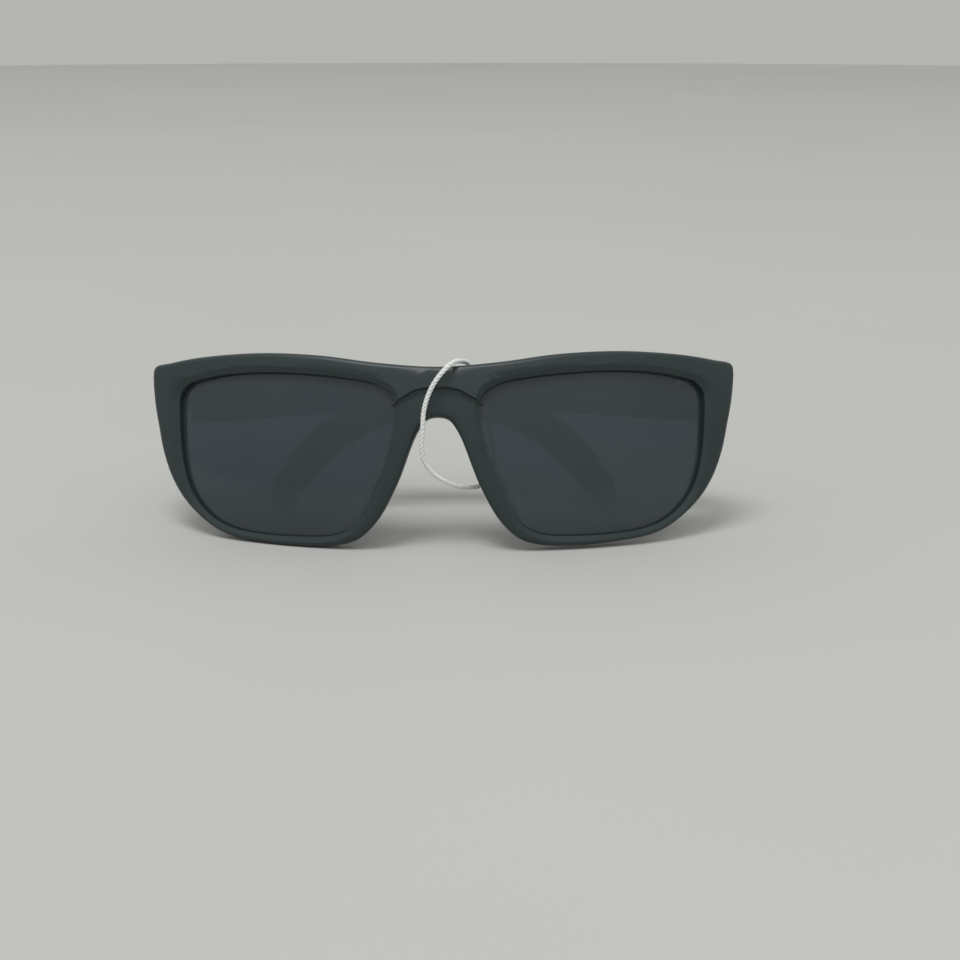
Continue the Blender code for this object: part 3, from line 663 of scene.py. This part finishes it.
def ear_sleeve(hand, look):
    """The soft sleeve with fine grip ribs, a rolled front edge and a rounded tip."""
    outside = temple_sections(SLEEVE_START + GAP, TEMPLE_REACH, 0.0003)
    cavity = temple_sections(SLEEVE_START + GAP, TONGUE_END + GAP, 0.004)
    rings = [temple_ring(hand, *section, shrink=TONGUE_INSET - GAP) for section in cavity[::-1]]
    tip = outside[-1][0]
    for k, (place, along) in enumerate(outside):
        into = ROLLED_EDGE * max(0.0, 1.0 - k / 1.5)
        to_tip = np.linalg.norm(tip[:2] - place[:2])
        into += TIP_NARROWING * place[3] / TIP_ROUND * rounding(to_tip, TIP_ROUND)
        if GRIP_START < place[0] < GRIP_END:
            ends = smooth((place[0] - GRIP_START) / GRIP_FADE) * smooth((GRIP_END - place[0]) / GRIP_FADE)
            wave = 0.5 - 0.5 * math.cos(2 * math.pi * (place[0] - GRIP_START) / GRIP_PITCH)
            into += GRIP_DEPTH * ends * wave
        rings.append(temple_ring(hand, place, along, into))
    mesh = bmesh.new()
    bridge_rows(mesh, [[mesh.verts.new(p) for p in ring] for ring in rings], caps=(True, True))
    body, node = f"temple_{hand}", f"ear_sleeve_{hand}"
    return finish(mesh, f"ear_sock_{hand}", look, body, [node], 60.0)


def hinge_point(hand, moving, point):
    """A point measured outward, back and up from a hinge axis, on the front or on the folded temple."""
    side = 1.0 if hand == "left" else -1.0
    x, y, z = point
    if moving:
        return stand(fold(hand, (side * x, y, z)))
    return stand((side * (AXIS_X + x), AXIS_Y + y, z))


def add_slab(mesh, hand, moving, outline, low, high, place):
    """A plate with softened edges: an outline drawn in a plane, and its extent square to it."""
    middle = np.mean(outline, axis=0)
    rings = []
    levels = [(low, SOFT_EDGE), (low + SOFT_EDGE, 0.0), (high - SOFT_EDGE, 0.0), (high, SOFT_EDGE)]
    for level, inset in levels:
        ring = []
        for point in outline:
            away = np.array(point) - middle
            spot = middle + away * (1.0 - inset / np.linalg.norm(away))
            ring.append(hinge_point(hand, moving, place(spot, level)))
        rings.append([mesh.verts.new(p) for p in ring])
    bridge_rows(mesh, rings, caps=(True, True))


def corner(middle, radius, first, steps=6):
    """A quarter circle, from an angle in quarter turns."""
    turns = [math.pi / 2 * (first + k / steps) for k in range(steps + 1)]
    return [(middle[0] + radius * math.cos(t), middle[1] + radius * math.sin(t)) for t in turns]


def hinge_leaf(hand, moving, look):
    """A stamped leaf with rounded corners, and its knuckles round the screw."""
    towards = 1 if moving else -1
    bottom, top = HINGE_MIDDLE - HINGE_HALF, HINGE_MIDDLE + HINGE_HALF
    if moving:
        knuckles = [(HINGE_MIDDLE - MIDDLE_KNUCKLE_HALF, HINGE_MIDDLE + MIDDLE_KNUCKLE_HALF)]
    else:
        reach = MIDDLE_KNUCKLE_HALF + KNUCKLE_GAP
        knuckles = [(bottom, HINGE_MIDDLE - reach), (HINGE_MIDDLE + reach, top)]
    near, far = KNUCKLE_RADIUS + GAP, KNUCKLE_RADIUS + LEAF_LENGTH
    outline = [(near, bottom)]
    outline += corner((far - LEAF_CORNER, bottom + LEAF_CORNER), LEAF_CORNER, 3)
    outline += corner((far - LEAF_CORNER, top - LEAF_CORNER), LEAF_CORNER, 0)
    outline.append((near, top))
    mesh = bmesh.new()

    def flat(point, level):
        return (level, towards * point[0], point[1])

    add_slab(mesh, hand, moving, outline, LEAF_INNER, LEAF_OUTER, flat)
    for low, high in knuckles:
        neck_end = near + NECK_OVERLAP
        neck = [(NECK_START, low), (neck_end, low), (neck_end, high), (NECK_START, high)]
        add_slab(mesh, hand, moving, neck, LEAF_INNER, LEAF_OUTER, flat)
        profile = [(low + SOFT_EDGE, BORE_RADIUS), (low, BORE_RADIUS + SOFT_EDGE)]
        profile += [(low, KNUCKLE_RADIUS - SOFT_EDGE), (low + SOFT_EDGE, KNUCKLE_RADIUS)]
        profile += [(high - SOFT_EDGE, KNUCKLE_RADIUS), (high, KNUCKLE_RADIUS - SOFT_EDGE)]
        profile += [(high, BORE_RADIUS + SOFT_EDGE), (high - SOFT_EDGE, BORE_RADIUS)]
        rings = []
        for height, radius in profile:
            turns = [2 * math.pi * k / 40 for k in range(40)]
            ring = [(radius * math.cos(t), radius * math.sin(t), height) for t in turns]
            rings.append([mesh.verts.new(hinge_point(hand, moving, point)) for point in ring])
        bridge_rows(mesh, rings, closed=True)
    kind = "temple" if moving else "front"
    body = f"temple_{hand}" if moving else "front"
    return finish(mesh, f"leaf_{kind}_{hand}", look, body, [f"hinge_{kind}_leaf_{hand}"])


def rivet(hand, moving, level, look):
    """A rivet with a low domed head."""
    towards = 1 if moving else -1
    along = towards * (KNUCKLE_RADIUS + RIVET_PLACE)
    height = HINGE_MIDDLE + (RIVET_SPREAD if level == "upper" else -RIVET_SPREAD)
    mesh = bmesh.new()
    rings = []
    for out, radius in RIVET:
        turns = [2 * math.pi * k / 32 for k in range(32)]
        size = max(radius, POINT_RADIUS)
        ring = [(out, along + size * math.cos(t), height + size * math.sin(t)) for t in turns]
        rings.append([mesh.verts.new(hinge_point(hand, moving, point)) for point in ring])
    bridge_rows(mesh, rings, caps=(True, True))
    kind = "temple" if moving else "front"
    body = f"temple_{hand}" if moving else "front"
    node = f"{kind}_rivet_{level}_{hand}"
    return finish(mesh, f"domed_{node}", look, body, [node])


def hinge_screw(hand, look):
    """The hinge screw: a shank and a slotted head on top."""
    mesh = bmesh.new()
    rings = []
    for height, radius in SCREW:
        size = max(radius, POINT_RADIUS)
        turns = [2 * math.pi * k / 40 for k in range(40)]
        ring = [(size * math.cos(t), size * math.sin(t), height) for t in turns]
        rings.append([mesh.verts.new(hinge_point(hand, False, point)) for point in ring])
    bridge_rows(mesh, rings, caps=(True, True))
    floor_height, radius = SCREW[-2]
    limit = math.asin(SCREW_SLOT_HALF / radius)
    for half in (0.0, math.pi):
        turns = [half + limit + (math.pi - 2 * limit) * k / 20 for k in range(21)]
        outline = [(radius * math.cos(t), radius * math.sin(t)) for t in turns]
        bottom = floor_height - SOFT_EDGE
        add_slab(mesh, hand, False, outline, bottom, SCREW_TOP, lambda p, z: (p[0], p[1], z))
    return finish(mesh, f"slotted_screw_{hand}", look, "front", [f"hinge_screw_{hand}"])


def nose_pad(hand, look):
    """A soft pad behind the nasal rim with rounded edges and a flat face to the nose."""
    side = 1.0 if hand == "left" else -1.0
    low, high = np.array(PAD_LOW), np.array(PAD_HIGH)
    along = (high - low) / np.linalg.norm(high - low)
    inward = np.array([along[2], 0.0, -along[0]])
    inward /= np.linalg.norm(inward)
    back = np.array([0.0, 1.0, 0.0]) + PAD_FLARE * inward
    mesh = bmesh.new()
    rows = []
    for k in range(PAD_STEPS + 1):
        place = k / PAD_STEPS
        size = (1.0 - abs(2 * place - 1.0) ** 8) ** 0.35 * 0.5 + 0.5
        middle = low + (high - low) * place
        ring = []
        for a, b in rounded(28, 4.5):
            depth = (0.5 + 0.5 * b * size) * PAD_DEPTH * PAD_TRIM
            p = middle + inward * a * size * PAD_HALF_WIDTH + back * depth
            ring.append(mesh.verts.new(stand((side * p[0], p[1], p[2]))))
        rows.append(ring)
    bridge_rows(mesh, rows, caps=(True, True))
    return finish(mesh, f"soft_pad_{hand}", look, "front", [f"nose_pad_{hand}"], 50.0)


def tube_frames(path):
    """Two directions square to the path at each point, carried along it without twisting."""
    tangents = np.gradient(path, axis=0)
    tangents /= np.linalg.norm(tangents, axis=1)[:, None]
    side = np.cross(tangents[0], (0.0, 0.0, 1.0))
    sides = []
    for tangent in tangents:
        side = side - tangent * np.dot(side, tangent)
        side = side / np.linalg.norm(side)
        sides.append(side)
    sides = np.array(sides)
    return sides, np.cross(tangents, sides)


def add_tube(mesh, path, radius, sides=12, taper=0.0):
    """A closed round tube along a path."""
    u, v = tube_frames(path)
    rows = []
    for k, point in enumerate(path):
        ends = min(k, len(path) - 1 - k)
        size = radius * (1.0 - taper * max(0.0, 1.0 - ends / 3.0))
        turns = [2 * math.pi * j / sides for j in range(sides)]
        rows.append([mesh.verts.new(point + size * (u[k] * math.cos(t) + v[k] * math.sin(t))) for t in turns])
    bridge_rows(mesh, rows, caps=(True, True))


def tag_cord(look):
    """The white hang-tag cord: three strands laid round each other."""
    route = spline(CORD_ROUTE, 12, plane=3)
    path = np.array([stand(point) for point in even(route, 420)])
    u, v = tube_frames(path)
    lengths = np.concatenate([[0.0], np.cumsum(np.linalg.norm(np.diff(path, axis=0), axis=1))])
    strand = CORD_RADIUS * STRAND_SHARE
    offset = CORD_RADIUS - strand
    mesh = bmesh.new()
    for k in range(STRANDS):
        turn = 2 * math.pi * (lengths / TWIST_LENGTH + k / STRANDS)
        line = path + offset * (u * np.cos(turn)[:, None] + v * np.sin(turn)[:, None])
        add_tube(mesh, line, strand, 10, taper=0.3)
    made = finish(mesh, "twisted_cord", look, "front", ["tag_cord"], 80.0)
    return made


def cord_knot(look):
    """The knot that joins the cord's ends: a looped tube along the line between them."""
    start, end = stand(CORD_ROUTE[0]), stand(CORD_ROUTE[-1])
    along = (start - end) / np.linalg.norm(start - end)
    side = np.cross(along, (0.0, 1.0, 0.0))
    side /= np.linalg.norm(side)
    other = np.cross(along, side)
    middle = (start + end) / 2
    half = np.linalg.norm(start - end) / 2 - GAP
    line = []
    for k in range(91):
        turn = 2 * math.pi * k / 90
        ring = (2.0 + math.cos(3 * turn)) / 3.0
        sideways = side * math.cos(2 * turn) + other * math.sin(2 * turn)
        height = (half - KNOT_END) * math.sin(3 * turn) * 0.8
        line.append(middle + KNOT_SPREAD * ring * sideways + along * height)
    mesh = bmesh.new()
    add_tube(mesh, np.array(line), KNOT_RADIUS, 12)
    return finish(mesh, "cord_knot_tied", look, "front", ["cord_knot"], 80.0)


# ---------------------------------------------------------------- materials


class Look:
    """A material under construction, with short ways to add nodes to it."""

    def __init__(self, name):
        self.material = bpy.data.materials.new(name)
        self.material.use_nodes = True
        self.nodes = self.material.node_tree.nodes
        self.links = self.material.node_tree.links
        self.shader = self.nodes["Principled BSDF"]
        self.place = self.nodes.new("ShaderNodeTexCoord").outputs["Object"]

    def set(self, **values):
        for name, value in values.items():
            self.shader.inputs[name.replace("_", " ")].default_value = value

    def noise(self, scale, detail=4.0, roughness=0.55, stretch=(1.0, 1.0, 1.0)):
        place = self.place
        if stretch != (1.0, 1.0, 1.0):
            mapping = self.nodes.new("ShaderNodeMapping")
            mapping.inputs["Scale"].default_value = stretch
            self.links.new(place, mapping.inputs["Vector"])
            place = mapping.outputs["Vector"]
        node = self.nodes.new("ShaderNodeTexNoise")
        node.inputs["Scale"].default_value = scale
        node.inputs["Detail"].default_value = detail
        node.inputs["Roughness"].default_value = roughness
        self.links.new(place, node.inputs["Vector"])
        return node.outputs["Fac"]

    def ramp(self, value, stops):
        node = self.nodes.new("ShaderNodeValToRGB")
        ramp = node.color_ramp
        while len(ramp.elements) < len(stops):
            ramp.elements.new(0.5)
        for element, (position, colour) in zip(ramp.elements, stops):
            element.position = position
            element.color = (*colour, 1.0) if len(colour) == 3 else colour
        self.links.new(value, node.inputs["Fac"])
        return node.outputs["Color"]

    def span(self, value, low, high):
        """The value, spread from low to high."""
        node = self.nodes.new("ShaderNodeMapRange")
        node.inputs["To Min"].default_value = low
        node.inputs["To Max"].default_value = high
        self.links.new(value, node.inputs["Value"])
        return node.outputs["Result"]

    def add(self, first, second, operation="ADD"):
        node = self.nodes.new("ShaderNodeMath")
        node.operation = operation
        for socket, value in zip(node.inputs, (first, second)):
            if isinstance(value, (int, float)):
                socket.default_value = value
            else:
                self.links.new(value, socket)
        return node.outputs["Value"]

    def bump(self, height, strength, distance):
        node = self.nodes.new("ShaderNodeBump")
        node.inputs["Strength"].default_value = strength
        node.inputs["Distance"].default_value = distance
        self.links.new(height, node.inputs["Height"])
        self.links.new(node.outputs["Normal"], self.shader.inputs["Normal"])

    def to(self, name, value):
        self.links.new(value, self.shader.inputs[name])


def moulded_plastic(name, dark, light):
    """Satin moulded plastic: a spark-eroded grain, slight clouding and faint handling marks."""
    look = Look(name)
    clouds = look.noise(45.0, 3.0)
    look.to("Base Color", look.ramp(clouds, [(0.3, dark), (0.7, light)]))
    grain = look.noise(5200.0, 2.0, 0.6)
    waves = look.noise(260.0, 3.0, 0.5)
    marks = look.noise(90.0, 6.0, 0.75, stretch=(1.0, 6.0, 2.0))
    look.to("Roughness", look.span(look.add(waves, marks, "MULTIPLY"), 0.34, 0.54))
    look.bump(look.add(grain, look.add(waves, 0.6, "MULTIPLY")), 0.35, 0.00006)
    look.set(Specular_IOR_Level=0.42)
    return look.material


def smoke_lens():
    """Polished smoke-tinted lens: dark, glossy and a little see-through, with faint smudges."""
    look = Look("smoke_lens")
    tint = look.noise(22.0, 2.0)
    look.to("Base Color", look.ramp(tint, [(0.3, (0.050, 0.068, 0.084)), (0.7, (0.062, 0.082, 0.096))]))
    smudge = look.noise(70.0, 6.0, 0.7)
    look.to("Roughness", look.span(smudge, 0.03, 0.12))
    look.set(Transmission_Weight=0.5, IOR=1.5, Specular_IOR_Level=0.45)
    return look.material


def soft_rubber():
    """Matt black elastomer with a fine velvety grain and a little dust."""
    look = Look("soft_rubber")
    dust = look.noise(130.0, 6.0, 0.7)
    look.to("Base Color", look.ramp(dust, [(0.35, (0.018, 0.020, 0.021)), (0.75, (0.034, 0.037, 0.038))]))
    look.to("Roughness", look.span(dust, 0.62, 0.86))
    look.bump(look.noise(3800.0, 3.0, 0.6), 0.4, 0.00005)
    look.set(Specular_IOR_Level=0.35, Sheen_Weight=0.15, Sheen_Roughness=0.5)
    return look.material


def steel(name, colour, low, high):
    """Stamped steel with a brushed grain and slightly darker patches."""
    look = Look(name)
    grain = look.noise(2600.0, 3.0, 0.6, stretch=(1.0, 1.0, 0.08))
    patches = look.noise(420.0, 4.0)
    darker = tuple(0.72 * part for part in colour)
    look.to("Base Color", look.ramp(patches, [(0.3, darker), (0.65, colour)]))
    look.to("Roughness", look.span(grain, low, high))
    look.bump(grain, 0.2, 0.00002)
    look.set(Metallic=1.0)
    return look.material


def white_cord():
    """White twisted yarn: fine fibres along the strands and slightly grey hollows."""
    look = Look("white_cord")
    fibres = look.noise(3000.0, 5.0, 0.7)
    look.to("Base Color", look.ramp(fibres, [(0.25, (0.60, 0.61, 0.60)), (0.6, (0.86, 0.87, 0.86))]))
    look.to("Roughness", look.span(fibres, 0.7, 0.95))
    look.bump(fibres, 0.6, 0.00008)
    look.set(Sheen_Weight=0.3, Sheen_Roughness=0.6)
    return look.material


def pale_floor():
    look = Look("pale_floor")
    tone = look.noise(3.0, 3.0)
    look.to("Base Color", look.ramp(tone, [(0.3, (0.470, 0.474, 0.455)), (0.7, (0.492, 0.496, 0.476))]))
    look.set(Roughness=0.75)
    return look.material


# ---------------------------------------------------------------- room


def floor():
    mesh = bmesh.new()
    bmesh.ops.create_circle(mesh, cap_ends=True, segments=96, radius=FLOOR_RADIUS)
    data = bpy.data.meshes.new("floor")
    mesh.to_mesh(data)
    mesh.free()
    made = bpy.data.objects.new("floor", data)
    bpy.context.scene.collection.objects.link(made)
    data.materials.append(pale_floor())


def area_light(name, place, aim, size, power):
    data = bpy.data.lights.new(name, "AREA")
    data.shape = "DISK"
    data.size = size
    data.energy = power
    made = bpy.data.objects.new(name, data)
    made.location = place
    made.rotation_euler = (Vector(aim) - Vector(place)).to_track_quat("-Z", "Y").to_euler()
    bpy.context.scene.collection.objects.link(made)


def lights():
    area_light("key_light", KEY_PLACE, LIGHT_AIM, KEY_SIZE, KEY_POWER)
    area_light("sheen_light", SHEEN_PLACE, LIGHT_AIM, SHEEN_SIZE, SHEEN_POWER)
    world = bpy.data.worlds.new("room")
    world.use_nodes = True
    nodes, links = world.node_tree.nodes, world.node_tree.links
    direction = nodes.new("ShaderNodeTexCoord")
    split = nodes.new("ShaderNodeSeparateXYZ")
    links.new(direction.outputs["Generated"], split.inputs["Vector"])
    ramp = nodes.new("ShaderNodeValToRGB")
    ramp.color_ramp.elements[0].position = 0.0
    ramp.color_ramp.elements[0].color = ROOM_LOW
    ramp.color_ramp.elements[1].position = 0.8
    ramp.color_ramp.elements[1].color = ROOM_HIGH
    links.new(split.outputs["Z"], ramp.inputs["Fac"])
    links.new(ramp.outputs["Color"], nodes["Background"].inputs["Color"])
    bpy.context.scene.world = world


def camera():
    """Looks about square on at the leaning front, from a little to the wearer's left and above."""
    bridge = Vector(stand((0.0, 0.0, 0.0)))
    away = Vector(
        (
            math.sin(CAMERA_AZIMUTH) * math.cos(CAMERA_HEIGHT),
            -math.cos(CAMERA_AZIMUTH) * math.cos(CAMERA_HEIGHT),
            math.sin(CAMERA_HEIGHT),
        )
    )
    right = Vector((math.cos(CAMERA_AZIMUTH), math.sin(CAMERA_AZIMUTH), 0.0))
    up = away.cross(right) * -1.0
    if up.z < 0:
        up = -up
    aim = bridge + right * CAMERA_AIM_RIGHT - up * CAMERA_AIM_DOWN
    place = bridge + away * CAMERA_DISTANCE
    data = bpy.data.cameras.new("camera")
    data.lens = FOCAL_LENGTH
    data.sensor_width = 36.0
    data.clip_start = 0.01
    made = bpy.data.objects.new("camera", data)
    made.location = place
    made.rotation_euler = (aim - place).to_track_quat("-Z", "Y").to_euler()
    bpy.context.scene.collection.objects.link(made)
    bpy.context.scene.camera = made


def build():
    bpy.context.scene.view_settings.view_transform = "Standard"
    camera()
    lights()
    floor()
    cord_look = white_cord()
    cord_knot(cord_look)
    tag_cord(cord_look)
    front_look = moulded_plastic("moulded_front", PLASTIC_DARK, PLASTIC_LIGHT)
    temple_look = moulded_plastic("moulded_temple", PLASTIC_DARK, PLASTIC_LIGHT)
    lens_look = smoke_lens()
    rubber_look = soft_rubber()
    leaf_look = steel("hinge_leaf_steel", (0.56, 0.56, 0.55), 0.24, 0.42)
    screw_look = steel("screw_steel", (0.66, 0.66, 0.66), 0.12, 0.24)
    rivet_look = steel("rivet_steel", (0.52, 0.52, 0.52), 0.2, 0.36)
    front(front_look)
    for hand in ("left", "right"):
        lens(hand, lens_look)
        nose_pad(hand, rubber_look)
        temple_arm(hand, temple_look)
        ear_sleeve(hand, rubber_look)
        for moving in (False, True):
            hinge_leaf(hand, moving, leaf_look)
            for level in ("lower", "upper"):
                rivet(hand, moving, level, rivet_look)
        hinge_screw(hand, screw_look)


build()
